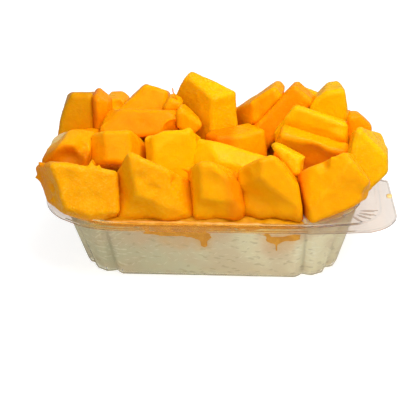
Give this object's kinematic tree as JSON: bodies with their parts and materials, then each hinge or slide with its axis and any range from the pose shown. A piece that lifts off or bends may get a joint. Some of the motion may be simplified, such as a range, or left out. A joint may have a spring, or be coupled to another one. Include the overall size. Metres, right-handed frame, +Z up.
{
  "type": "mango rice pudding in a takeaway tray",
  "caption": "Rice pudding filling a clear rounded plastic tray to its rim, under a tall heap of large ripe mango chunks.",
  "frame": {"origin": "middle of the tray's flat base, on the surface it stands on", "axes": "+Z up, +X along the tray's long side, -Y towards the front; the lifting tab is at +X -Y"},
  "size_m": [0.1809, 0.1203, 0.0815],
  "materials": {
    "clear_plastic": "clear and glossy, thin vacuum-formed sheet",
    "rice_pudding": "moist cream with whole soft rice grains",
    "mango_front": "moist, slightly translucent ripe fruit flesh with a soft sheen",
    "mango_second": "moist, slightly translucent ripe fruit flesh with a soft sheen",
    "mango_end": "moist, slightly translucent ripe fruit flesh with a soft sheen",
    "mango_upper": "moist, slightly translucent ripe fruit flesh with a soft sheen",
    "mango_side": "moist, slightly translucent ripe fruit flesh with a soft sheen",
    "mango_back": "moist, slightly translucent ripe fruit flesh with a soft sheen",
    "mango_inner": "moist, slightly translucent ripe fruit flesh with a soft sheen"
  },
  "bodies": {
    "root": {"tray": "clear_plastic", "rice_pudding": "rice_pudding", "mango_front_1": "mango_front", "mango_front_2": "mango_front", "mango_front_3": "mango_front", "mango_front_4": "mango_front", "mango_front_5": "mango_front", "mango_second_1": "mango_second", "mango_second_2": "mango_second", "mango_second_3": "mango_second", "mango_second_4": "mango_second", "mango_second_5": "mango_second", "mango_second_6": "mango_second", "mango_end_1": "mango_end", "mango_upper_1": "mango_upper", "mango_upper_2": "mango_upper", "mango_upper_3": "mango_upper", "mango_upper_4": "mango_upper", "mango_upper_5": "mango_upper", "mango_upper_6": "mango_upper", "mango_upper_7": "mango_upper", "mango_upper_8": "mango_upper", "mango_upper_9": "mango_upper", "mango_upper_10": "mango_upper", "mango_upper_11": "mango_upper", "mango_upper_12": "mango_upper", "mango_upper_13": "mango_upper", "mango_upper_14": "mango_upper", "mango_end_2": "mango_end", "mango_side_1": "mango_side", "mango_side_2": "mango_side", "mango_back_top": "mango_back", "mango_back_1": "mango_back", "mango_back_2": "mango_back", "mango_back_3": "mango_back", "mango_back_4": "mango_back", "mango_back_5": "mango_back", "mango_back_6": "mango_back", "mango_inner_1": "mango_inner", "mango_inner_2": "mango_inner", "mango_inner_3": "mango_inner", "mango_inner_4": "mango_inner", "mango_inner_5": "mango_inner", "mango_inner_6": "mango_inner"}
  },
  "joints": []
}
